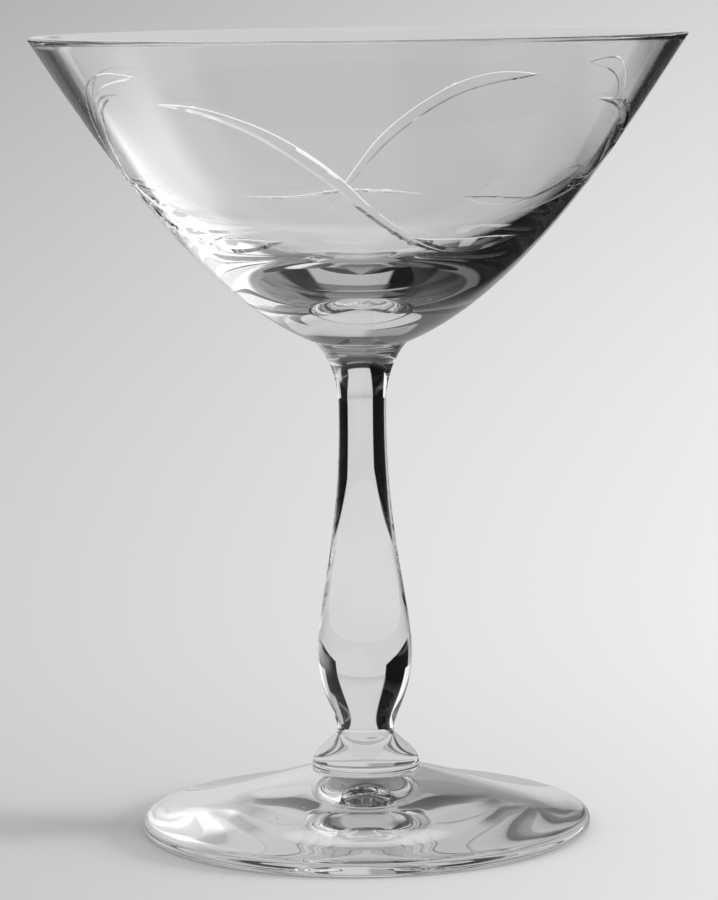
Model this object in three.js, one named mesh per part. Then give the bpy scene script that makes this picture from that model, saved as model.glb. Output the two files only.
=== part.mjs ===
// Sherbet glass in clear crystal: a blown bowl, a drawn baluster stem, a round knop and a cast
// disc foot, fused hot end to end. Millimetres, +Z up, origin on the table under the glass.
import * as THREE from 'three';

// Bowl
const RIM_RADIUS = 55.4; // widest point of the lip
const BOWL_HEIGHT = 52; // from the stem weld to the top of the lip
const LIP_RADIUS = 0.4; // rounding of both edges of the ground lip
const LIP_WALL = 2.45; // thickness of the wall under the lip
const BOWL_FLOOR = 8.6; // solid glass under the inside, on the axis
const BOWL_WALL = 2.1; // thickness of the wall where the inside starts to round into the floor
const WALL_TURN = 0.61; // that place, as a share of the outer wall from the weld to the lip
const BOWL_BASE_RISE = 22; // outer wall's angle above level at the weld, degrees
const BOWL_RIM_RISE = 57; // and at the lip, where both faces of the wall run alike

// Stem
const STEM_LENGTH = 66.8; // weld to weld
const STEM_TOP_RADIUS = 7.9; // weld under the bowl
const FLARE_DROP = 11; // length of the trumpet under the bowl
const FLARE_SPREAD = 40; // trumpet's angle above level at the weld, degrees
const NECK_RADIUS = 4.05;
const NECK_LENGTH = 2; // straight stretch between the trumpet and the baluster
const BULB_RADIUS = 8.08; // widest point of the baluster
const BULB_HEIGHT = 13.4; // of that point, above the knop weld
const STEM_BASE_RADIUS = 4.8; // weld on the knop
const STEM_BASE_LEAN = 5; // stem's angle from upright at that weld, degrees

// Knop
const KNOP_HEIGHT = 6.6; // weld to weld
const COLLAR_HEIGHT = 0.7; // short upright ring under the stem
const COLLAR_STEP = 0.1; // ring's overhang round the stem
const KNOP_RADIUS = 9.2;
const KNOP_WAIST = 0.6; // height of the widest point above the foot weld
const KNOP_SHOULDER = 45; // fall of the shoulder under the collar, degrees
const KNOP_SEAT_RADIUS = 9.1; // weld on the foot
const KNOP_UNDERCUT = 20; // knop's lean inwards at that weld, degrees

// Foot
const FOOT_RADIUS = 38.5;
const FOOT_HEIGHT = 10.6; // table to the knop weld
const FOOT_EDGE = 2.7; // thickness of the round outer edge
const FOOT_EDGE_RISE = 11; // slope of the top just inside the edge, degrees
const FOOT_CROWN_RISE = 17; // slope of the top where it meets the fillet, degrees
const FILLET_WIDTH = 1.2; // hollow ring between the foot's top and the knop
const FILLET_HEIGHT = 0.5;
const FILLET_RISE = 55; // its slope at the knop, degrees
const REST_RING_WIDTH = 2.5; // flat ring that stands on the table
const KICK_HEIGHT = 4.9; // hollow under the middle of the foot
const KICK_RADIUS = 20; // where the hollow turns from a dome into a shallow slope
const KICK_SHOULDER = 2.05; // height of the hollow there
const KICK_FALL = 9; // its slope there, degrees
const RING_FALL = 2; // and its slope where it meets the ring, degrees

// Facets
const WIDE_SIDES = 64;
const SLIM_SIDES = 36;
const WALL_STEPS = 14;
const STEM_STEPS = 8;
const EDGE_STEPS = 5;

// How far the handles of a smooth run reach, as a share of its length
const EVEN = 0.3;
const SHORT = 0.2;
const TIGHT = 0.15;
const LONG = 0.5;

const LEVEL_OUT = 0;
const UPRIGHT = 90;
const LEVEL_IN = 180;

const KNOP_BASE = FOOT_HEIGHT;
const STEM_BASE = KNOP_BASE + KNOP_HEIGHT;
const BOWL_BASE = STEM_BASE + STEM_LENGTH;

function heading(degrees, length = 1) {
  const angle = THREE.MathUtils.degToRad(degrees);
  return new THREE.Vector2(Math.cos(angle), Math.sin(angle)).multiplyScalar(length);
}

// A smooth curve that leaves and arrives at given headings, in degrees from level outwards
function smooth(from, to, leave, arrive, leaveReach = EVEN, arriveReach = EVEN) {
  const length = from.distanceTo(to);
  const leaving = from.clone().add(heading(leave, leaveReach * length));
  const arriving = to.clone().sub(heading(arrive, arriveReach * length));
  return new THREE.CubicBezierCurve(from, leaving, arriving, to);
}

// Half of a section, traced in (radius, height) from the axis below to the axis above
class Section {
  constructor(height) {
    this.points = [new THREE.Vector2(0, height)];
  }

  line(radius, height) {
    this.points.push(new THREE.Vector2(radius, height));
    return this;
  }

  follow(curve, steps) {
    this.points.push(...curve.getPoints(steps).slice(1));
    return this;
  }

  run(leave, arrive, radius, height, steps, leaveReach, arriveReach) {
    const from = this.points.at(-1);
    const to = new THREE.Vector2(radius, height);
    return this.follow(smooth(from, to, leave, arrive, leaveReach, arriveReach), steps);
  }

  // A round edge about a centre, from one heading to another
  round(centre, radius, from, to, steps) {
    for (let step = 0; step <= steps; step += 1) {
      const angle = THREE.MathUtils.lerp(from, to, step / steps);
      this.points.push(heading(angle, radius).add(centre));
    }
    return this;
  }

  turn(sides) {
    return new THREE.LatheGeometry(this.points, sides).rotateX(Math.PI / 2);
  }
}

function bowl() {
  const rimHeight = BOWL_BASE + BOWL_HEIGHT;
  const outerLip = new THREE.Vector2(RIM_RADIUS - LIP_RADIUS, rimHeight - LIP_RADIUS);
  const lipWidth = (LIP_WALL - 2 * LIP_RADIUS) / heading(BOWL_RIM_RISE).y;
  const innerLip = new THREE.Vector2(outerLip.x - lipWidth, outerLip.y);
  const outside = BOWL_RIM_RISE - UPRIGHT;
  const inside = BOWL_RIM_RISE + UPRIGHT;
  const lipStart = heading(outside, LIP_RADIUS).add(outerLip);
  const weldEdge = new THREE.Vector2(STEM_TOP_RADIUS, BOWL_BASE);
  const wall = smooth(weldEdge, lipStart, BOWL_BASE_RISE, BOWL_RIM_RISE);
  const turnRise = THREE.MathUtils.radToDeg(wall.getTangent(WALL_TURN).angle());
  const turnPoint = heading(turnRise + UPRIGHT, BOWL_WALL).add(wall.getPoint(WALL_TURN));
  const lipFall = BOWL_RIM_RISE + LEVEL_IN;
  const turnFall = turnRise + LEVEL_IN;
  const floorHeight = BOWL_BASE + BOWL_FLOOR;
  return new Section(BOWL_BASE)
    .line(weldEdge.x, weldEdge.y)
    .follow(wall, WALL_STEPS)
    .round(outerLip, LIP_RADIUS, outside, UPRIGHT, EDGE_STEPS)
    .round(innerLip, LIP_RADIUS, UPRIGHT, inside, EDGE_STEPS)
    .run(lipFall, turnFall, turnPoint.x, turnPoint.y, STEM_STEPS)
    .run(turnFall, LEVEL_IN, 0, floorHeight, WALL_STEPS, LONG, SHORT)
    .turn(WIDE_SIDES);
}

function stem() {
  const bulbHeight = STEM_BASE + BULB_HEIGHT;
  const neckTop = BOWL_BASE - FLARE_DROP;
  const neckBase = neckTop - NECK_LENGTH;
  const baseHeading = UPRIGHT - STEM_BASE_LEAN;
  return new Section(STEM_BASE)
    .line(STEM_BASE_RADIUS, STEM_BASE)
    .run(baseHeading, UPRIGHT, BULB_RADIUS, bulbHeight, STEM_STEPS, SHORT, LONG)
    .run(UPRIGHT, UPRIGHT, NECK_RADIUS, neckBase, STEM_STEPS, SHORT, LONG)
    .line(NECK_RADIUS, neckTop)
    .run(UPRIGHT, FLARE_SPREAD, STEM_TOP_RADIUS, BOWL_BASE, STEM_STEPS, LONG, TIGHT)
    .line(0, BOWL_BASE)
    .turn(SLIM_SIDES);
}

function knop() {
  const collarRadius = STEM_BASE_RADIUS + COLLAR_STEP;
  const shoulderHeight = STEM_BASE - COLLAR_HEIGHT;
  const waistHeight = KNOP_BASE + KNOP_WAIST;
  const underHeading = UPRIGHT - KNOP_UNDERCUT;
  const shoulderHeading = KNOP_SHOULDER + UPRIGHT;
  return new Section(KNOP_BASE)
    .line(KNOP_SEAT_RADIUS, KNOP_BASE)
    .run(underHeading, UPRIGHT, KNOP_RADIUS, waistHeight, EDGE_STEPS)
    .run(UPRIGHT, shoulderHeading, collarRadius, shoulderHeight, STEM_STEPS)
    .line(collarRadius, STEM_BASE)
    .line(0, STEM_BASE)
    .turn(SLIM_SIDES);
}

function foot() {
  const edgeRadius = FOOT_EDGE / 2;
  const edgeCentre = new THREE.Vector2(FOOT_RADIUS - edgeRadius, edgeRadius);
  const ringInside = edgeCentre.x - REST_RING_WIDTH;
  const topHeading = LEVEL_IN - FOOT_EDGE_RISE;
  const crownHeading = LEVEL_IN - FOOT_CROWN_RISE;
  const filletRadius = KNOP_SEAT_RADIUS + FILLET_WIDTH;
  const filletBase = KNOP_BASE - FILLET_HEIGHT;
  return new Section(KICK_HEIGHT)
    .run(LEVEL_OUT, -KICK_FALL, KICK_RADIUS, KICK_SHOULDER, STEM_STEPS)
    .run(-KICK_FALL, -RING_FALL, ringInside, 0, STEM_STEPS)
    .round(edgeCentre, edgeRadius, -UPRIGHT, UPRIGHT - FOOT_EDGE_RISE, EDGE_STEPS)
    .run(topHeading, crownHeading, filletRadius, filletBase, STEM_STEPS)
    .run(crownHeading, LEVEL_IN - FILLET_RISE, KNOP_SEAT_RADIUS, KNOP_BASE, EDGE_STEPS)
    .line(0, KNOP_BASE)
    .turn(WIDE_SIDES);
}

const crystal = new THREE.MeshStandardMaterial({ color: 0xe4e8e8, roughness: 0.04, metalness: 0 });

const glass = new THREE.Group();
for (const [name, shape] of Object.entries({ bowl, stem, knop, foot })) {
  const piece = new THREE.Mesh(shape(), crystal);
  piece.name = name;
  glass.add(piece);
}

export default glass;
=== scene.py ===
# %% [markdown]
# # A sherbet glass in clear crystal
# The real glass is four gathers of hot crystal fused end to end: a blown bowl, a drawn baluster stem,
# a round knop and a cast disc foot. After cooling, the bowl was decorated on a cutting wheel.
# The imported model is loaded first, because every piece below replaces one of its nodes in place.

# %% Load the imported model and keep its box
import math

import bpy
from mathutils import Matrix, Vector
from mathutils.geometry import interpolate_bezier


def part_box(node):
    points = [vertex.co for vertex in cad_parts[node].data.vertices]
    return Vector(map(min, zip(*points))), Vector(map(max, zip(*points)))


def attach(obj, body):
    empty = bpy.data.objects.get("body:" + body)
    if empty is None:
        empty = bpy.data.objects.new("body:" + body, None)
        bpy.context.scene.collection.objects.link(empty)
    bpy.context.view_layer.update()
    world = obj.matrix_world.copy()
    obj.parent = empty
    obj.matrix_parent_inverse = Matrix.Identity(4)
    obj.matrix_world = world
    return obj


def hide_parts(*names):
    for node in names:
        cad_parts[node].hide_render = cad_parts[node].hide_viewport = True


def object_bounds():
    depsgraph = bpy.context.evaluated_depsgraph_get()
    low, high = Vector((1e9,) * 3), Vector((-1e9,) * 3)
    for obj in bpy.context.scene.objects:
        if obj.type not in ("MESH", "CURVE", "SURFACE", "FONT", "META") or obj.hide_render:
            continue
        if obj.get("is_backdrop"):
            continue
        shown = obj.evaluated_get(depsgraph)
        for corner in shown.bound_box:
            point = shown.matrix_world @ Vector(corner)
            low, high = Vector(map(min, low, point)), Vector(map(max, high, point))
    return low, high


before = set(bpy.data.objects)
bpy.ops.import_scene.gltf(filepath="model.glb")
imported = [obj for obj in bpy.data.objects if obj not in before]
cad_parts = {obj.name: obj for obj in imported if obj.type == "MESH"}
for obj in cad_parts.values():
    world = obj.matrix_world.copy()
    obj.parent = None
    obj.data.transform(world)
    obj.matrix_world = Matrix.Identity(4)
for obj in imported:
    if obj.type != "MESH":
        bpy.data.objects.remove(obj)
cad_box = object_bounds()
print("nodes", sorted(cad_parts), "box", [list(corner) for corner in cad_box])

# %% [markdown]
# ## Camera
# The picture was taken with a long lens from a little above the rim. The rim and the foot are both
# circles, so the flatness of their two ellipses gives the camera's height and distance. A small roll
# is left in, because the real camera was held slightly out of level.

# %% Set up the camera
CAMERA_DISTANCE = 0.64851
CAMERA_HEIGHT = 0.14913
LENS_LENGTH = 153.46
LOOK_DOWN = math.radians(7.356)
CAMERA_ROLL = -0.01114
CAMERA_YAW = -0.00097
SENSOR_HEIGHT = 36
NEAREST_SEEN = 0.02
FARTHEST_SEEN = 60

bpy.ops.object.select_all(action="DESELECT")
bpy.ops.object.camera_add()
camera = bpy.context.object
camera.data.sensor_fit = "VERTICAL"
camera.data.sensor_height = SENSOR_HEIGHT
camera.data.lens = LENS_LENGTH
camera.data.clip_start = NEAREST_SEEN
camera.data.clip_end = FARTHEST_SEEN
camera.matrix_world = (
    Matrix.Translation((0, -CAMERA_DISTANCE, CAMERA_HEIGHT))
    @ Matrix.Rotation(-CAMERA_YAW, 4, "Z")
    @ Matrix.Rotation(math.pi / 2 - LOOK_DOWN, 4, "X")
    @ Matrix.Rotation(CAMERA_ROLL, 4, "Z")
)
bpy.context.scene.camera = camera
print("camera", camera.data.lens, "mm at", list(camera.location))

# %% [markdown]
# ## Drawing a section and spinning it
# A glassmaker keeps the piece turning all the time, so every part is a body of revolution. By hand you
# would draw half of the section, one extruded point after another, and spin it round the axis. The long
# soft curves between two headings are Bezier runs, which is how hot glass settles between two tools.

# %% Helpers for a half section: points of radius and height in millimetres, headings in degrees
MM = 0.001
LEVEL_OUT = 0
UPRIGHT = 90
LEVEL_IN = 180


def heading(degrees, length=1.0):
    angle = math.radians(degrees)
    return Vector((math.cos(angle), math.sin(angle))) * length


def smooth_run(section, leave, arrive, end, steps, leave_reach=0.3, arrive_reach=0.3):
    start = Vector(section[-1])
    end = Vector(end)
    span = (end - start).length
    leaving = start + heading(leave, leave_reach * span)
    arriving = end - heading(arrive, arrive_reach * span)
    knots = [Vector((*p, 0)) for p in (start, leaving, arriving, end)]
    section.extend((p.x, p.y) for p in interpolate_bezier(*knots, steps + 1)[1:])


def round_edge(section, centre, radius, first, last, steps):
    for step in range(steps + 1):
        point = Vector(centre) + heading(first + (last - first) * step / steps, radius)
        section.append((point.x, point.y))


# %% Helper that extrudes the section point by point and spins it
MERGE_WITHIN = 0.001


def spin_glass(name, section, sides):
    bpy.ops.object.select_all(action="DESELECT")
    bpy.ops.mesh.primitive_plane_add(size=MM)
    piece = bpy.context.object
    piece.name = piece.data.name = name
    bpy.ops.object.mode_set(mode="EDIT")
    bpy.ops.mesh.merge(type="CENTER")
    here = (0.0, 0.0)
    for count, (radius, height) in enumerate(section):
        step = ((radius - here[0]) * MM, 0, (height - here[1]) * MM)
        if count == 0:
            bpy.ops.transform.translate(value=step)
        else:
            bpy.ops.mesh.extrude_vertices_move(TRANSFORM_OT_translate={"value": step})
        here = (radius, height)
    bpy.ops.mesh.select_all(action="SELECT")
    bpy.ops.mesh.spin(steps=sides, angle=math.tau, center=(0, 0, 0), axis=(0, 0, 1))
    bpy.ops.mesh.select_all(action="SELECT")
    bpy.ops.mesh.remove_doubles(threshold=MERGE_WITHIN * MM)
    bpy.ops.mesh.normals_make_consistent(inside=False)
    bpy.ops.object.mode_set(mode="OBJECT")
    print(name, len(piece.data.vertices), "points", len(piece.data.polygons), "faces")
    return piece


# %% [markdown]
# ## Foot
# The foot was cast from a gather and spread into a disc with a wooden board. Its top slopes up to the
# knop, a little steeper towards the middle, and its edge is round. It stands on a flat ring, and the
# middle underneath is hollowed so that the glass doesn't rock. You could start from a flat cylinder, but
# the hollow and the slopes bend the light into the rings round the knop, so they are drawn in full.

# %% Spin the foot
FOOT_TOP = 10.6
KNOP_SEAT = 9.1
EDGE_RADIUS = 1.35
EDGE_CENTRE = (37.15, EDGE_RADIUS)
EDGE_RISE = 11
CROWN_RISE = 17
FILLET = (10.3, 10.1)
FILLET_RISE = 55
REST_RING = 34.65
KICK = 4.9
KICK_SHOULDER = (20, 2.05)
KICK_FALL = 9
RING_FALL = 2

foot_section = [(0, KICK)]
smooth_run(foot_section, LEVEL_OUT, -KICK_FALL, KICK_SHOULDER, steps=24)
smooth_run(foot_section, -KICK_FALL, -RING_FALL, (REST_RING, 0), steps=16)
round_edge(foot_section, EDGE_CENTRE, EDGE_RADIUS, -UPRIGHT, UPRIGHT - EDGE_RISE, steps=16)
smooth_run(foot_section, LEVEL_IN - EDGE_RISE, LEVEL_IN - CROWN_RISE, FILLET, steps=32)
foot_weld = (KNOP_SEAT, FOOT_TOP)
smooth_run(foot_section, LEVEL_IN - CROWN_RISE, LEVEL_IN - FILLET_RISE, foot_weld, steps=10)
foot_section.append((0, FOOT_TOP))
foot = spin_glass("foot_disc", foot_section, sides=192)

# %% [markdown]
# ## Knop
# A knop is a small ball of glass between two other pieces. This one is low and full at the bottom, and
# ends above in a narrow collar that the stem was set on. The top gets an extra ring of points at the
# stem's own radius, so that the weld can be told from the thin step around it.

# %% Spin the knop
STEM_BASE = 17.2
STEM_FOOT_RADIUS = 4.8
COLLAR_RADIUS = 4.9
COLLAR_BASE = 16.5
KNOP_WAIST = (9.2, 11.2)
KNOP_UNDERCUT = 20
KNOP_SHOULDER = 45

stem_weld = (STEM_FOOT_RADIUS, STEM_BASE)
knop_section = [(0, FOOT_TOP), foot_weld]
smooth_run(knop_section, UPRIGHT - KNOP_UNDERCUT, UPRIGHT, KNOP_WAIST, steps=8)
smooth_run(knop_section, UPRIGHT, UPRIGHT + KNOP_SHOULDER, (COLLAR_RADIUS, COLLAR_BASE), steps=24)
knop_section += [(COLLAR_RADIUS, STEM_BASE), stem_weld, (0, STEM_BASE)]
knop = spin_glass("knop_ball", knop_section, sides=128)

# %% [markdown]
# ## Stem
# The stem was drawn from the hot bottom of the bowl: a baluster with its bulb low down, a slim neck, and
# a trumpet that opens into the bowl. A cylinder with loop cuts would come close, but solid glass shows
# every flat as a band, so the long curves are drawn with many points.

# %% Spin the stem
BOWL_BASE = 84.0
TRUMPET_RADIUS = 7.9
TRUMPET_SPREAD = 40
NECK_BASE = (4.05, 71)
NECK_TOP = (4.05, 73)
BULB = (8.08, 30.6)
STEM_FOOT_LEAN = 5
SHORT = 0.2
LONG = 0.5
TIGHT = 0.15

bowl_weld = (TRUMPET_RADIUS, BOWL_BASE)
stem_section = [(0, STEM_BASE), stem_weld]
smooth_run(stem_section, UPRIGHT - STEM_FOOT_LEAN, UPRIGHT, BULB, 24, leave_reach=SHORT, arrive_reach=LONG)
smooth_run(stem_section, UPRIGHT, UPRIGHT, NECK_BASE, 48, leave_reach=SHORT, arrive_reach=LONG)
stem_section.append(NECK_TOP)
smooth_run(stem_section, UPRIGHT, TRUMPET_SPREAD, bowl_weld, 28, leave_reach=LONG, arrive_reach=TIGHT)
stem_section.append((0, BOWL_BASE))
stem = spin_glass("stem_baluster", stem_section, sides=128)

# %% [markdown]
# ## Bowl
# The bowl flares like a saucer. Its wall is a little over 2 mm thick at the lip and grows to a solid
# lens over the stem, and that lens is what draws the rings and dashes low in the bowl. The lip was ground
# level and then softened at both edges. The rim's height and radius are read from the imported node, so
# the spun bowl, which is rounder than the facets, still stays inside the node's box.

# %% Spin the bowl
LIP_RADIUS = 0.4
LIP_WALL = 2.45
BOWL_FLOOR = 92.6
RIM_RISE = 57
WALL_TURN = (38.0, 113.3)
WALL_TURN_RISE = 52
WALL_BASE_RISE = 22

bowl_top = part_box("bowl")[1]
outer_lip = Vector((bowl_top.x / MM - LIP_RADIUS, bowl_top.z / MM - LIP_RADIUS))
lip_width = (LIP_WALL - 2 * LIP_RADIUS) / math.sin(math.radians(RIM_RISE))
inner_lip = outer_lip - Vector((lip_width, 0))
lip_start = outer_lip + heading(RIM_RISE - UPRIGHT, LIP_RADIUS)
bowl_section = [(0, BOWL_BASE), bowl_weld]
smooth_run(bowl_section, WALL_BASE_RISE, RIM_RISE, lip_start, steps=64)
outer_wall = bowl_section[1:]
round_edge(bowl_section, outer_lip, LIP_RADIUS, RIM_RISE - UPRIGHT, UPRIGHT, steps=10)
round_edge(bowl_section, inner_lip, LIP_RADIUS, UPRIGHT, RIM_RISE + UPRIGHT, steps=10)
lip_fall = RIM_RISE + LEVEL_IN
turn_fall = WALL_TURN_RISE + LEVEL_IN
smooth_run(bowl_section, lip_fall, turn_fall, WALL_TURN, steps=32)
smooth_run(bowl_section, turn_fall, LEVEL_IN, (0, BOWL_FLOOR), 56, leave_reach=LONG, arrive_reach=SHORT)
bowl = spin_glass("bowl_blown", bowl_section, sides=256)

# %% [markdown]
# ## Wheel cuts
# The ornament is a traditional one: crossed tapering strokes, each a single pass on a rotating stone. A
# stroke starts at nothing, widens, and runs out again. Its bed lies along the wall and its sides slope,
# so the bed stays clear and the two sides show as bright lines. The stroke's body is lofted here: a loop
# with cut-off corners at every stop along the wall, bridged into a slim bar, which a Boolean then takes
# out of the bowl. Painting the strokes as bump would lose the bright sides.

# %% Find the wall's radius and slope at a height
TRIAL_HEIGHT = 120


def wall_at(height):
    for (r0, h0), (r1, h1) in zip(outer_wall, outer_wall[1:]):
        if h0 <= height <= h1:
            share = (height - h0) / (h1 - h0)
            return r0 + (r1 - r0) * share, math.atan2(h1 - h0, r1 - r0)
    raise ValueError("height is off the wall")


print("wall at", TRIAL_HEIGHT, "mm", wall_at(TRIAL_HEIGHT))


# %% Find a smooth path between stops, and its points on the wall
def between(stops, steps):
    points = [Vector(stop) for stop in stops]
    ends = [2 * points[0] - points[1], *points, 2 * points[-1] - points[-2]]
    for a, b, c, d in zip(ends, ends[1:], ends[2:], ends[3:]):
        for step in range(steps):
            t = step / steps
            curve = 2 * b + (c - a) * t
            curve += (2 * a - 5 * b + 4 * c - d) * t**2
            curve += (3 * b - a - 3 * c + d) * t**3
            yield curve / 2
    yield points[-1]


def on_wall(azimuth, height):
    radius, rise = wall_at(height)
    angle = math.radians(azimuth)
    outwards = Vector((math.sin(angle), -math.cos(angle), 0))
    point = outwards * radius + Vector((0, 0, height))
    normal = outwards * math.sin(rise) - Vector((0, 0, math.cos(rise)))
    return point * MM, normal


print("wall point", on_wall(0, TRIAL_HEIGHT))


# %% One loop of a stroke: a bed along the wall with a sloping side on either hand
SIDE_SLOPE = 28
STRETCH = 1 / math.tan(math.radians(SIDE_SLOPE))
CLEARANCE = 0.2
THINNEST = 0.04
DEPTH_OF_WIDTH = 0.22
OVERCUT = 1.03


def stroke_loop(point, normal, along, width, deepest):
    across = normal.cross(along).normalized()
    outwards = along.cross(across)
    deep = min(DEPTH_OF_WIDTH * width, deepest)
    bpy.ops.mesh.primitive_plane_add(
        size=2 * MM,
        location=point + outwards * (CLEARANCE - deep / 2) * MM,
        rotation=Matrix((across, outwards, along)).transposed().to_euler(),
    )
    loop = bpy.context.object
    loop.scale = (width / 2, (deep / 2 + CLEARANCE) * STRETCH, 1)
    bpy.ops.object.transform_apply(location=False, rotation=False, scale=True)
    bpy.ops.object.mode_set(mode="EDIT")
    bpy.ops.mesh.bevel(offset=OVERCUT * deep * STRETCH * MM, segments=1, affect="VERTICES")
    bpy.ops.mesh.select_all(action="SELECT")
    bpy.ops.mesh.delete(type="ONLY_FACE")
    bpy.ops.object.mode_set(mode="OBJECT")
    loop.scale = (1, 1 / STRETCH, 1)
    return loop


print("side of a stroke falls", SIDE_SLOPE, "degrees")


# %% Join the loops of a stroke and bridge them
def wheel_stroke(name, deepest, stops, steps=3):
    path = list(between(stops, steps))
    spots = [on_wall(stop[0], stop[1]) for stop in path]
    bpy.ops.object.select_all(action="DESELECT")
    loops = []
    for count, (stop, (point, normal)) in enumerate(zip(path, spots)):
        ahead = spots[min(count + 1, len(spots) - 1)][0]
        behind = spots[max(count - 1, 0)][0]
        along = (ahead - behind).normalized()
        loops.append(stroke_loop(point, normal, along, max(stop[2], THINNEST), deepest))
    for loop in loops:
        loop.select_set(True)
    bpy.ops.object.join()
    bpy.ops.object.transform_apply(location=True, rotation=True, scale=True)
    stroke = bpy.context.object
    stroke.name = stroke.data.name = name
    bpy.ops.object.mode_set(mode="EDIT")
    bpy.ops.mesh.select_all(action="SELECT")
    bpy.ops.mesh.bridge_edge_loops()
    bpy.ops.mesh.select_all(action="DESELECT")
    bpy.ops.mesh.select_mode(type="EDGE")
    bpy.ops.mesh.select_non_manifold()
    bpy.ops.mesh.edge_face_add()
    bpy.ops.mesh.select_all(action="SELECT")
    bpy.ops.mesh.normals_make_consistent(inside=False)
    bpy.ops.object.mode_set(mode="OBJECT")
    print(name, len(path), "loops", len(stroke.data.polygons), "faces")
    return stroke


# %% The four strokes of one motif: greatest depth, then stops of azimuth in degrees, height and width
long_stroke = wheel_stroke("long_stroke", 0.25, [
    (-41, 125.9, 0.1), (-36, 125.5, 1.0), (-32, 124.95, 1.5), (-28, 124.1, 1.8), (-23.7, 122.8, 2.1),
    (-19.9, 121.4, 2.4), (-16.5, 119.8, 2.7), (-13.2, 118.05, 2.8), (-9, 115.6, 2.8), (-4, 112.5, 2.5),
    (0.5, 109.4, 2.0), (7.4, 106, 1.7), (15, 103.3, 1.2), (22, 101.8, 0.6), (27, 101.2, 0.1),
])
upper_stroke = wheel_stroke("upper_stroke", 0.13, [
    (33, 130.2, 0.1), (30, 130.15, 1.2), (25.3, 129.95, 2.1), (21, 129.2, 2.4), (17.5, 128.1, 2.4),
    (14.5, 126.7, 2.3), (11.3, 124.9, 2.2), (8.7, 123.2, 2.1), (6.1, 121.3, 2.0), (3.9, 119.5, 1.8),
    (0.5, 116.3, 1.4), (-3, 113, 1.0), (-6, 110.2, 0.5), (-8, 108.3, 0.1),
])
level_stroke = wheel_stroke("level_stroke", 0.12, [
    (-29.5, 111.05, 0.1), (-21.7, 110.85, 0.45), (-14.7, 111, 0.55), (-4.3, 112, 0.6), (3.5, 111.9, 0.55),
    (8.6, 111.7, 0.45), (15.5, 111.2, 0.1),
])
leaf_stroke = wheel_stroke("leaf_stroke", 0.3, [
    (14, 103.9, 0.1), (20, 103, 1.6), (27, 102.4, 2.9), (33, 102.2, 3.3), (40, 102.4, 3.1),
    (46, 102.7, 2.1), (53, 103.2, 0.1),
])

# %% Copy the motif to the two sides of the bowl and cut all strokes out
MOTIF_TURNS = (-76, 92)

motif = [long_stroke, upper_stroke, level_stroke, leaf_stroke]
strokes = list(motif)
for turn in MOTIF_TURNS:
    bpy.ops.object.select_all(action="DESELECT")
    for stroke in motif:
        stroke.select_set(True)
    bpy.ops.object.duplicate(linked=False)
    bpy.ops.transform.rotate(
        value=-math.radians(turn), orient_axis="Z", orient_type="GLOBAL", center_override=(0, 0, 0)
    )
    bpy.ops.object.transform_apply(location=True, rotation=True, scale=True)
    strokes += bpy.context.selected_objects

bpy.ops.object.select_all(action="DESELECT")
bpy.context.view_layer.objects.active = bowl
for stroke in strokes:
    cut = bowl.modifiers.new("wheel_cut", "BOOLEAN")
    cut.operation = "DIFFERENCE"
    cut.solver = "MANIFOLD"
    cut.object = stroke
    bpy.ops.object.modifier_apply(modifier=cut.name)
for stroke in strokes:
    bpy.data.objects.remove(stroke)
print("bowl after", len(strokes), "cuts has", len(bowl.data.polygons), "faces")

# %% [markdown]
# ## Glass
# All four pieces are the same clear crystal, so one node group gives each of them the marks that real
# glass has: a faint ripple along the turning direction, a thin film of handling, and some grains of
# dust. The shader stays a plain Principled glass in every material. Where two pieces are fused there is
# no surface in the real glass, so the weld faces get a material that lets everything through.

# %% The shared group's sockets, and two helpers for nodes
LIFE_SOCKETS = (("Ripple Size", 1.0), ("Ripple Height", 0.5), ("Film", 0.01), ("Dust Spacing", 4.0))

surface_life = bpy.data.node_groups.new("surface_life", "ShaderNodeTree")
for socket, value in LIFE_SOCKETS:
    made = surface_life.interface.new_socket(socket, in_out="INPUT", socket_type="NodeSocketFloat")
    made.default_value = value
surface_life.interface.new_socket("Height", in_out="OUTPUT", socket_type="NodeSocketFloat")
surface_life.interface.new_socket("Roughness", in_out="OUTPUT", socket_type="NodeSocketFloat")
surface_life.interface.new_socket("Color", in_out="OUTPUT", socket_type="NodeSocketColor")


def maths(tree, operation, *values):
    node = tree.nodes.new("ShaderNodeMath")
    node.operation = operation
    for socket, value in zip(node.inputs, values):
        if isinstance(value, bpy.types.NodeSocket):
            tree.links.new(value, socket)
        else:
            socket.default_value = value
    return node.outputs[0]


def rising(tree, value, low, high):
    node = tree.nodes.new("ShaderNodeMapRange")
    node.interpolation_type = "SMOOTHSTEP"
    tree.links.new(value, node.inputs["Value"])
    node.inputs["From Min"].default_value = low
    node.inputs["From Max"].default_value = high
    return node.outputs["Result"]


print("group sockets", [item.name for item in surface_life.interface.items_tree])

# %% Ripple: noise drawn out round the turning direction
RIPPLE_STRETCH = (0.12, 0.12, 1.0)

life_in = surface_life.nodes.new("NodeGroupInput").outputs
life_out = surface_life.nodes.new("NodeGroupOutput").inputs
link_life = surface_life.links.new
place = surface_life.nodes.new("ShaderNodeTexCoord").outputs["Object"]

turning = surface_life.nodes.new("ShaderNodeMapping")
turning.inputs["Scale"].default_value = RIPPLE_STRETCH
link_life(place, turning.inputs["Vector"])
ripple = surface_life.nodes.new("ShaderNodeTexNoise")
ripple.inputs["Detail"].default_value = 0.0
link_life(turning.outputs["Vector"], ripple.inputs["Vector"])
ripple_scale = maths(surface_life, "DIVIDE", 1 / MM, life_in["Ripple Size"])
link_life(ripple_scale, ripple.inputs["Scale"])
height = maths(surface_life, "MULTIPLY", ripple.outputs["Fac"], life_in["Ripple Height"])
link_life(height, life_out["Height"])
print("nodes with ripple", len(surface_life.nodes))

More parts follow.
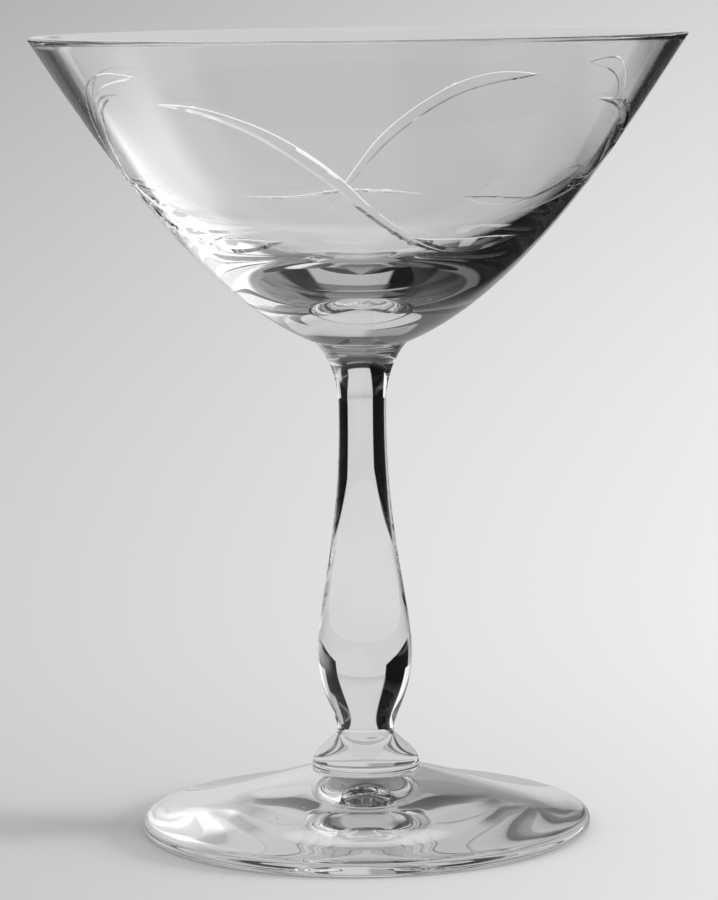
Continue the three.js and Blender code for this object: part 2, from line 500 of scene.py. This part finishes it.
# %% Dust and film: a grain in some cells of a Voronoi pattern, and soft blotches
GRAIN_EDGE = (0.025, 0.05)
BARE_CELLS = 0.55
DUST_ROUGHNESS = 0.6
FILM_SCALE = 60.0
FILM_DETAIL = 3.0
FILM_EDGE = (0.5, 0.75)
CLEAR_TINT = (0.993, 0.993, 0.993, 1)
DUST_TINT = (0.86, 0.86, 0.85, 1)

grains = surface_life.nodes.new("ShaderNodeTexVoronoi")
link_life(place, grains.inputs["Vector"])
grain_scale = maths(surface_life, "DIVIDE", 1 / MM, life_in["Dust Spacing"])
link_life(grain_scale, grains.inputs["Scale"])
off_grain = rising(surface_life, grains.outputs["Distance"], *GRAIN_EDGE)
split = surface_life.nodes.new("ShaderNodeSeparateColor")
link_life(grains.outputs["Color"], split.inputs["Color"])
has_grain = maths(surface_life, "GREATER_THAN", split.outputs["Red"], BARE_CELLS)
dust = maths(surface_life, "MULTIPLY", maths(surface_life, "SUBTRACT", 1.0, off_grain), has_grain)

film = surface_life.nodes.new("ShaderNodeTexNoise")
film.inputs["Scale"].default_value = FILM_SCALE
film.inputs["Detail"].default_value = FILM_DETAIL
link_life(place, film.inputs["Vector"])
blotches = rising(surface_life, film.outputs["Fac"], *FILM_EDGE)
filmed = maths(surface_life, "MULTIPLY", blotches, life_in["Film"])
dusty = maths(surface_life, "MULTIPLY", dust, DUST_ROUGHNESS)
link_life(maths(surface_life, "MAXIMUM", filmed, dusty), life_out["Roughness"])

tint = surface_life.nodes.new("ShaderNodeMix")
tint.data_type = "RGBA"
tint.inputs["A"].default_value = CLEAR_TINT
tint.inputs["B"].default_value = DUST_TINT
link_life(dust, tint.inputs["Factor"])
link_life(tint.outputs["Result"], life_out["Color"])
print("nodes with dust and film", len(surface_life.nodes))

# %% One crystal material for each piece
CRYSTAL_INDEX = 1.52
RIPPLE_UNIT = 0.01 * MM
FILM_AMOUNT = 0.004


def crystal(name, ripple_size, ripple_height, dust_spacing, shade):
    material = bpy.data.materials.new(name)
    material.use_nodes = True
    tree = material.node_tree
    glass = tree.nodes["Principled BSDF"]
    glass.inputs["IOR"].default_value = CRYSTAL_INDEX
    glass.inputs["Transmission Weight"].default_value = 1.0
    life = tree.nodes.new("ShaderNodeGroup")
    life.node_tree = surface_life
    life.inputs["Ripple Size"].default_value = ripple_size
    life.inputs["Ripple Height"].default_value = ripple_height
    life.inputs["Film"].default_value = FILM_AMOUNT
    life.inputs["Dust Spacing"].default_value = dust_spacing
    bump = tree.nodes.new("ShaderNodeBump")
    bump.inputs["Strength"].default_value = 1.0
    bump.inputs["Distance"].default_value = RIPPLE_UNIT
    tree.links.new(life.outputs["Height"], bump.inputs["Height"])
    tree.links.new(bump.outputs["Normal"], glass.inputs["Normal"])
    tree.links.new(life.outputs["Color"], glass.inputs["Base Color"])
    tree.links.new(life.outputs["Roughness"], glass.inputs["Roughness"])
    in_shadow = tree.nodes.new("ShaderNodeLightPath").outputs["Is Shadow Ray"]
    tree.links.new(maths(tree, "MULTIPLY_ADD", in_shadow, shade - 1, 1.0), glass.inputs["Alpha"])
    return material


bowl_crystal = crystal("bowl_crystal", ripple_size=2.4, ripple_height=0.04, dust_spacing=5.0, shade=0.3)
stem_crystal = crystal("stem_crystal", ripple_size=3.0, ripple_height=0.06, dust_spacing=6.0, shade=0.8)
knop_crystal = crystal("knop_crystal", ripple_size=2.0, ripple_height=0.12, dust_spacing=6.0, shade=0.8)
foot_crystal = crystal("foot_crystal", ripple_size=1.2, ripple_height=0.12, dust_spacing=5.0, shade=0.3)

fused = bpy.data.materials.new("fused_joint")
fused.use_nodes = True
fused_glass = fused.node_tree.nodes["Principled BSDF"]
fused_glass.inputs["Alpha"].default_value = 0.0
fused_glass.inputs["Transmission Weight"].default_value = 1.0
print("materials", [material.name for material in bpy.data.materials])

# %% Give each piece its crystal, and each weld face the fused material
WELD_CLOSENESS = 0.01
SMOOTH_ANGLE = math.radians(28)
PIECES = (
    (bowl, "bowl", bowl_crystal, (bowl_weld,)),
    (stem, "stem", stem_crystal, (bowl_weld, stem_weld)),
    (knop, "knop", knop_crystal, (stem_weld, foot_weld)),
    (foot, "foot", foot_crystal, (foot_weld,)),
)

for piece, node, material, welds in PIECES:
    piece.data.materials.clear()
    piece.data.materials.append(material)
    piece.data.materials.append(fused)
    count = 0
    for face in piece.data.polygons:
        spot = face.center / MM
        face.material_index = 0
        for weld_radius, weld_height in welds:
            if abs(spot.z - weld_height) < WELD_CLOSENESS and spot.xy.length < weld_radius:
                face.material_index = 1
                count += 1
    bpy.ops.object.select_all(action="DESELECT")
    piece.select_set(True)
    bpy.context.view_layer.objects.active = piece
    bpy.ops.object.shade_smooth_by_angle(angle=SMOOTH_ANGLE)
    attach(piece, "root")
    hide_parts(node)
    print(piece.name, "replaces", node, "with", count, "weld faces")

# %% [markdown]
# ## Table
# Clear glass shows nothing but its surroundings, so the table and the studio do most of the work. The
# table is made twice. The first is a pale floor, which the camera sees and the daylight falls on. The
# fall of the window's light is painted into its colour: the tone fades with distance from the camera and
# is a little lighter on the right, the side of the window.

# %% The pale floor, with the daylight's falloff painted into its colour
FLOOR_SIZE = 120
FLOOR_LEVEL = -0.00006
FADE_START = 0.55
SIDE_LIMIT = 0.1
PAINTED_FALLOFF_BEND = -6.378
PAINTED_FALLOFF_NEAR = 2.389
PAINTED_FALLOFF_FAR = 0.532
PAINTED_WINDOW_SIDE = 1.122
PALE_ROUGHNESS = 0.9


def unseen_by(thing, *rays):
    for ray in rays:
        setattr(thing, "visible_" + ray, False)


def axes(tree, coordinates):
    node = tree.nodes.new("ShaderNodeSeparateXYZ")
    tree.links.new(tree.nodes.new("ShaderNodeTexCoord").outputs[coordinates], node.inputs["Vector"])
    return node.outputs


bpy.ops.object.select_all(action="DESELECT")
bpy.ops.mesh.primitive_plane_add(size=FLOOR_SIZE, location=(0, 0, FLOOR_LEVEL))
floor = bpy.context.object
floor.name = "pale_floor_painted_falloff"
unseen_by(floor, "transmission", "glossy")
pale = bpy.data.materials.new("pale_floor_painted_falloff")
pale.use_nodes = True
tree = pale.node_tree
floor_axes = axes(tree, "Object")
# Painted light: the floor's colour darkens with distance from the camera and lightens to the right, as the
# window's light falls.
away = maths(tree, "MAXIMUM", maths(tree, "ADD", floor_axes["Y"], CAMERA_DISTANCE), FADE_START)
nearness = maths(tree, "DIVIDE", CAMERA_HEIGHT, away)
sideways = maths(tree, "DIVIDE", floor_axes["X"], away)
sideways = maths(tree, "MINIMUM", maths(tree, "MAXIMUM", sideways, -SIDE_LIMIT), SIDE_LIMIT)
tone = maths(tree, "MULTIPLY_ADD", nearness, PAINTED_FALLOFF_BEND, PAINTED_FALLOFF_NEAR)
tone = maths(tree, "MULTIPLY_ADD", nearness, tone, PAINTED_FALLOFF_FAR)
tone = maths(tree, "MULTIPLY_ADD", sideways, PAINTED_WINDOW_SIDE, tone)
paint = tree.nodes["Principled BSDF"]
tree.links.new(tone, paint.inputs["Base Color"])
paint.inputs["Roughness"].default_value = PALE_ROUGHNESS
paint.inputs["Specular IOR Level"].default_value = 0.0
floor.data.materials.append(pale)
floor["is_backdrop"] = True
print(floor.name, len(tree.nodes), "nodes")

# %% [markdown]
# ## Table seen through the glass
# The second table is seen only through the glass: a sheet of paper with dark table top to its left and
# right, which gives the black edges in the stem. A photographer uses black card in the same way, and
# shifts it until each part of the glass looks right. Here every part gets its own setting, chosen by how
# a ray came through the glass: by a wall of the bowl, by solid glass, or after reflections inside it.
# This table glows with its own tones instead of being lit, so its light is painted, with painted pools
# of light and painted shade among the paper and the table.

# %% Helpers that paint areas with soft edges
def blended(tree, mask, under, over):
    node = tree.nodes.new("ShaderNodeMix")
    tree.links.new(mask, node.inputs["Factor"])
    for socket, value in ((node.inputs["A"], under), (node.inputs["B"], over)):
        if isinstance(value, bpy.types.NodeSocket):
            tree.links.new(value, socket)
        else:
            socket.default_value = value
    return node.outputs["Result"]


def within(tree, value, limits, soft):
    low, high = limits
    above = rising(tree, value, low - soft, low + soft)
    below = rising(tree, maths(tree, "MULTIPLY", value, -1.0), -high - soft, -high + soft)
    return maths(tree, "MULTIPLY", above, below)


def painted(tree, across, up, areas, under):
    for sides, heights, lean, soft, tone in areas:
        leaning = maths(tree, "MULTIPLY_ADD", up, -lean, across) if lean else across
        between_sides = within(tree, leaning, sides, soft)
        mask = maths(tree, "MULTIPLY", between_sides, within(tree, up, heights, soft))
        under = blended(tree, mask, under, tone)
    return under


# %% Helper that picks a tone by a ray's path: surfaces passed, reflections, and welds or sleeve passed
ONE_WALL = 2
FEW_REFLECTIONS = 2


def more_than(tree, count, limit):
    return maths(tree, "GREATER_THAN", count, limit + 0.5)


def by_path(tree, thin, solid, clear, once, deep, outside):
    path = tree.nodes.new("ShaderNodeLightPath").outputs
    passed = path["Transmission Depth"]
    reflected = path["Glossy Depth"]
    single = blended(tree, more_than(tree, path["Transparent Depth"], 0), thin, solid)
    straight = blended(tree, more_than(tree, passed, ONE_WALL), single, clear)
    folded = blended(tree, more_than(tree, reflected, FEW_REFLECTIONS), once, deep)
    inside = blended(tree, more_than(tree, reflected, 0), straight, folded)
    return blended(tree, more_than(tree, passed, 0), outside, inside)


# %% Areas of the floor: sides and depths in millimetres, lean of the sides, softness, tone
EVERYWHERE = 60000
# In each list, areas brighter than that list's paper are painted pools of light, and the dim area right of
# the glass in the first list is painted shade.
# Straight through two walls of the bowl
CLEAR_PAPER = 0.61
CLEAR_FLOOR = (
    ((-70, 30), (40, 230), 0, 30, 0.74),
    ((-300, -60), (60, 340), -0.08, 30, 1.2),
    ((-3000, -50), (450, EVERYWHERE), -0.3, 25, 0.03),
    ((50, 3000), (900, EVERYWHERE), 0.36, 25, 0.03),
    ((25, 90), (60, 420), 0.2, 15, 0.1),
)
# After one or two reflections inside the glass
ONCE_PAPER = 0.62
ONCE_FLOOR = (
    ((-EVERYWHERE, -260), (250, EVERYWHERE), 0, 25, 0.07),
    ((-260, -90), (0, 260), 0, 25, 1.2),
    ((-EVERYWHERE, EVERYWHERE), (-EVERYWHERE, -50), 0, 15, 0.04),
    ((10, EVERYWHERE), (-EVERYWHERE, 4), 0, 8, 0.03),
    ((50, EVERYWHERE), (100, EVERYWHERE), 0.21, 12, 0.02),
    ((120, EVERYWHERE), (-100, 150), 0.3, 15, 0.6),
)
# After more of them
DEEP_PAPER = 0.56
DEEP_FLOOR = (
    ((-110, 130), (90, EVERYWHERE), 0, 15, 0.3),
    ((-90, -8), (-40, 90), 0, 8, 0.38),
    ((-EVERYWHERE, -110), (-EVERYWHERE, EVERYWHERE), 0, 20, 0.1),
    ((-EVERYWHERE, -300), (-EVERYWHERE, EVERYWHERE), 0, 60, 0.02),
    ((130, EVERYWHERE), (500, EVERYWHERE), 0, 30, 0.05),
    ((130, EVERYWHERE), (-EVERYWHERE, 450), 0, 30, 0.85),
)
# Reflected by the outside
OUTER_PAPER = 0.5
OUTER_FLOOR = (
    ((-EVERYWHERE, -205), (-EVERYWHERE, EVERYWHERE), 0, 20, 0.13),
    ((-EVERYWHERE, -205), (420, EVERYWHERE), 0, 40, 0.24),
    ((-EVERYWHERE, -400), (-EVERYWHERE, EVERYWHERE), 0, 60, 0.02),
    ((-120, -50), (60, 260), 0, 20, 1.1),
    ((-165, -85), (10, 190), -0.2, 25, 2.6),
    ((50, EVERYWHERE), (-EVERYWHERE, EVERYWHERE), 0.21, 12, 0.02),
    ((180, 230), (-100, 250), 0, 15, 0.7),
)
print("areas of the floor", sum(map(len, (CLEAR_FLOOR, ONCE_FLOOR, DEEP_FLOOR, OUTER_FLOOR))))

# %% Paper and dark table, as seen straight through solid glass
PAPER_TONE = 0.68
FAR_PAPER = 0.54
FAR_FADE = (500.0, 3500.0)
TABLE_TONE = 0.006
PAPER_SOFT = 3.0
LEFT_START = 98.0
LEFT_SPREAD = 0.33
LEFT_CORNER = 0.62
LEFT_SOFT = 15.0
RIGHT_START = 100.0
RIGHT_LEAN = 0.1
RIGHT_SPREAD = 0.52
RIGHT_CORNER = -0.35
RIGHT_SOFT = 20.0

sheet = bpy.data.materials.new("paper_table_and_painted_light")
sheet.use_nodes = True
tree = sheet.node_tree
tree.nodes.remove(tree.nodes["Principled BSDF"])
sheet_axes = axes(tree, "Object")
east = maths(tree, "DIVIDE", sheet_axes["X"], MM)
north = maths(tree, "DIVIDE", sheet_axes["Y"], MM)

left_edge = maths(tree, "MAXIMUM", maths(tree, "MULTIPLY", north, LEFT_SPREAD), LEFT_START)
left_of_paper = rising(tree, maths(tree, "ADD", left_edge, east), PAPER_SOFT, -PAPER_SOFT)
right_edge = maths(tree, "MULTIPLY_ADD", north, RIGHT_LEAN, RIGHT_START)
right_edge = maths(tree, "MAXIMUM", maths(tree, "MULTIPLY", north, RIGHT_SPREAD), right_edge)
right_of_paper = rising(tree, maths(tree, "SUBTRACT", east, right_edge), -PAPER_SOFT, PAPER_SOFT)
in_left = rising(tree, maths(tree, "MULTIPLY_ADD", east, LEFT_CORNER, north), -LEFT_SOFT, LEFT_SOFT)
in_right = rising(tree, maths(tree, "MULTIPLY_ADD", east, RIGHT_CORNER, north), -RIGHT_SOFT, RIGHT_SOFT)
left_table = maths(tree, "MULTIPLY", left_of_paper, in_left)
right_table = maths(tree, "MULTIPLY", right_of_paper, in_right)
# Painted falloff of light: the paper dims from near to far.
near_paper = blended(tree, rising(tree, north, *FAR_FADE), PAPER_TONE, FAR_PAPER)
solid_floor = blended(tree, maths(tree, "MAXIMUM", left_table, right_table), near_paper, TABLE_TONE)
print(sheet.name, len(tree.nodes), "nodes so far")

# %% Lay the floor that the glass sees
floor_tone = by_path(
    tree,
    thin=CLEAR_PAPER,
    solid=solid_floor,
    clear=painted(tree, east, north, CLEAR_FLOOR, CLEAR_PAPER),
    once=painted(tree, east, north, ONCE_FLOOR, ONCE_PAPER),
    deep=painted(tree, east, north, DEEP_FLOOR, DEEP_PAPER),
    outside=painted(tree, east, north, OUTER_FLOOR, OUTER_PAPER),
)
glow = tree.nodes.new("ShaderNodeEmission")
tree.links.new(floor_tone, glow.inputs["Color"])
tree.links.new(glow.outputs["Emission"], tree.nodes["Material Output"].inputs["Surface"])

bpy.ops.object.select_all(action="DESELECT")
bpy.ops.mesh.primitive_plane_add(size=FLOOR_SIZE, location=(0, 0, FLOOR_LEVEL / 2))
glass_floor = bpy.context.object
glass_floor.name = "floor_in_glass"
unseen_by(glass_floor, "camera", "diffuse", "shadow")
glass_floor.data.materials.append(sheet)
glass_floor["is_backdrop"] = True
print(glass_floor.name, len(tree.nodes), "nodes")

# %% [markdown]
# ## Studio
# One tall window on the right lights the glass, a pale backdrop stands behind it, and the rest of the
# room is dim. The world paints these as cards by direction, each with soft edges. Like the table, they
# are set for each kind of path through the glass. The floor gets an even light, and where the camera
# looks past the floor it sees an even tone. Glowing planes round the glass would do as well, but a card
# painted in the world casts no shadow and never stands in the camera's way.

# %% Cards of the studio: sides and heights in degrees, lean, softness, tone
# Straight through solid glass
ROOM_TONE = 0.02
SOLID_CARDS = (
    ((-30, 35), (-40, 22.5), 0, 1, 0.66),
    ((-30, 35), (-4, 1), 0, 3, 0.54),
    ((-50, -18.5), (-40, 27), 0.35, 1.2, 0.004),
    ((27.5, 52), (-40, 16), -0.48, 1.2, 0.004),
    ((20.5, 37), (16, 24), 0, 1.2, 0.004),
    ((38, 66), (14, 40), 0, 2, 0.5),
    ((50, 66), (-12, 16), 0, 2, 0.7),
    ((64, 126), (-8, 24), 0, 3, 1.6),
    ((-76, -51), (-4, 24), 0.35, 2, 1.2),
    ((-110, -74), (-40, 12), 0, 3, 0.66),
)
# Straight through the walls of the bowl
CLEAR_TONE = 0.59
CLEAR_CARDS = (
    ((-190, 190), (28, 95), 0, 3, 0.01),
    ((-190, 190), (4, 28), 0, 2, 1.1),
)
# After one or two reflections inside the glass
ONCE_TONE = 0.05
ONCE_CARDS = (
    ((-190, 190), (58, 95), 0, 3, 0.06),
    ((-30, 30), (30, 50), 0, 3, 0.2),
    ((30, 88), (32, 52), 0, 4, 0.35),
    ((-72, -48), (42, 60), 0, 3, 0.2),
    ((-13, 20.5), (-40, 27), 0, 1, 0.62),
    ((-13, -1), (-40, 27), 0, 2, 0.34),
)
# After more of them
DEEP_TONE = 0.012
DEEP_CARDS = (
    ((-90, -62), (-40, 42), 0, 4, 0.01),
    ((-62, -31), (10, 42), 0, 3, 0.07),
    ((-62, -31), (-40, 10), 0, 3, 0.17),
    ((-31, -13), (-40, 30), 0, 1, 0.008),
    ((-13, 20.5), (16, 46), 0, 3, 0.2),
    ((-14, 14), (31, 40), 0, 2, 0.48),
    ((14, 26), (36, 52), 0, 3, 0.55),
    ((-26, -14), (31, 50), 0, 3, 0.55),
    ((-13, 20.5), (-40, 16), 0, 1, 0.46),
    ((33.5, 42), (-20, 42), 0, 2, 0.26),
    ((42, 57), (-20, 42), 0, 2, 0.32),
    ((55, 124), (-14, 38), 0, 3, 1.2),
    ((35, 150), (46, 60), 0, 5, 0.2),
    ((-35, 35), (52, 80), 0, 4, 0.14),
    ((152, 190), (-10, 45), 0, 4, 0.38),
    ((-190, -152), (-10, 45), 0, 4, 0.38),
)
# After a great many
MANY_CARDS = (((-45, 40), (-40, 24), 0, 5, 0.5),)
# Reflected by the outside
OUTER_TONE = 1.0
OUTER_CARDS = (
    ((-20, 20), (-20, 60), 0, 4, 0.75),
    ((-34, -8), (9, 48), 0, 4, 1.0),
    ((2, 22), (9, 40), 0, 4, 0.35),
    ((36, 60), (-9, 2), 0, 2, 9.0),
)
print("cards", sum(map(len, (SOLID_CARDS, CLEAR_CARDS, ONCE_CARDS, DEEP_CARDS, MANY_CARDS, OUTER_CARDS))))

# %% Hang the cards in the world
MANY_REFLECTIONS = 6
FLOOR_LIGHT = 0.6
FAR_TONE = 0.6

world = bpy.data.worlds.new("studio")
bpy.context.scene.world = world
world.use_nodes = True
world.cycles.sampling_method = "NONE"
tree = world.node_tree
ray = axes(tree, "Generated")
side = maths(tree, "DEGREES", maths(tree, "ARCTAN2", ray["X"], ray["Y"]))
rise = maths(tree, "DEGREES", maths(tree, "ARCSINE", ray["Z"]))
path = tree.nodes.new("ShaderNodeLightPath").outputs
clear_studio = painted(tree, side, rise, CLEAR_CARDS, CLEAR_TONE)
deep_studio = painted(tree, side, rise, DEEP_CARDS, DEEP_TONE)
many_studio = painted(tree, side, rise, MANY_CARDS, deep_studio)
many = more_than(tree, path["Glossy Depth"], MANY_REFLECTIONS)
studio = by_path(
    tree,
    thin=clear_studio,
    solid=painted(tree, side, rise, SOLID_CARDS, ROOM_TONE),
    clear=clear_studio,
    once=painted(tree, side, rise, ONCE_CARDS, ONCE_TONE),
    deep=blended(tree, many, deep_studio, many_studio),
    outside=painted(tree, side, rise, OUTER_CARDS, OUTER_TONE),
)
studio = blended(tree, path["Is Diffuse Ray"], studio, FLOOR_LIGHT)
studio = blended(tree, path["Is Camera Ray"], studio, FAR_TONE)
tree.links.new(studio, tree.nodes["Background"].inputs["Color"])
print("world nodes", len(tree.nodes))

# %% [markdown]
# ## Sleeve
# The real glass has no such thing. A ray through one wall of the bowl and a ray through the stem both
# pass two surfaces, so the count of surfaces can't tell them apart. A clear sleeve stands round the stem
# for that. The camera never sees it, but a ray that leaves the stem passes it and counts one more clear
# surface, just as it does at a weld face.

# %% An unseen sleeve round the stem
SLEEVE_RADIUS = 0.030
SLEEVE_HEIGHTS = (0.012, 0.098)
SLEEVE_SIDES = 96

bpy.ops.object.select_all(action="DESELECT")
bpy.ops.mesh.primitive_cylinder_add(
    vertices=SLEEVE_SIDES,
    radius=SLEEVE_RADIUS,
    depth=SLEEVE_HEIGHTS[1] - SLEEVE_HEIGHTS[0],
    end_fill_type="NOTHING",
    location=(0, 0, sum(SLEEVE_HEIGHTS) / 2),
)
sleeve = bpy.context.object
sleeve.name = "stem_sleeve"
unseen_by(sleeve, "camera", "diffuse", "glossy", "shadow")
unseen = bpy.data.materials.new("unseen")
unseen.use_nodes = True
tree = unseen.node_tree
tree.nodes.remove(tree.nodes["Principled BSDF"])
through = tree.nodes.new("ShaderNodeBsdfTransparent")
tree.links.new(through.outputs["BSDF"], tree.nodes["Material Output"].inputs["Surface"])
sleeve.data.materials.append(unseen)
sleeve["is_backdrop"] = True
print("sleeve", sleeve.name, len(sleeve.data.polygons), "faces")

# %% [markdown]
# ## Daylight
# The soft shadow to the left comes from low daylight on the right. A wide sun gives the same softness
# over the whole floor, which an area lamp close to the glass wouldn't. Light needs many bounces to come
# out of solid glass, and a limit on very bright ones keeps white specks out of the picture.

# %% Daylight on the floor
SUN_HEIGHT = math.radians(12)
SUN_SIDE = math.radians(93)
SUN_SPREAD = math.radians(24)
SUN_SHARE = 0.4

bpy.ops.object.select_all(action="DESELECT")
bpy.ops.object.light_add(type="SUN", rotation=(0, math.pi / 2 - SUN_HEIGHT, math.pi / 2 - SUN_SIDE))
sun = bpy.context.object
sun.name = "low_sun"
sun.data.angle = SUN_SPREAD
sun.data.energy = SUN_SHARE * math.pi / math.sin(SUN_HEIGHT)
unseen_by(sun, "camera", "glossy", "transmission")
print("sun", sun.data.energy)

# %% Light paths and plain tones
GLASS_BOUNCES = 32
CLEAR_BOUNCES = 48
BRIGHTEST = 3.0

scene = bpy.context.scene
scene.view_settings.view_transform = "Standard"
scene.cycles.max_bounces = GLASS_BOUNCES
scene.cycles.glossy_bounces = GLASS_BOUNCES
scene.cycles.transmission_bounces = GLASS_BOUNCES
scene.cycles.transparent_max_bounces = CLEAR_BOUNCES
scene.cycles.sample_clamp_indirect = BRIGHTEST
print("bounces", scene.cycles.max_bounces)

# %% [markdown]
# ## Size
# The spun pieces must stay inside the imported model's box, so both boxes are printed.

# %% Print both boxes and finish
boxes = {"cad": cad_box, "visual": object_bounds()}
{name: [list(corner) for corner in box] for name, box in boxes.items()}
print("boxes", {name: [[round(v, 5) for v in corner] for corner in box] for name, box in boxes.items()})
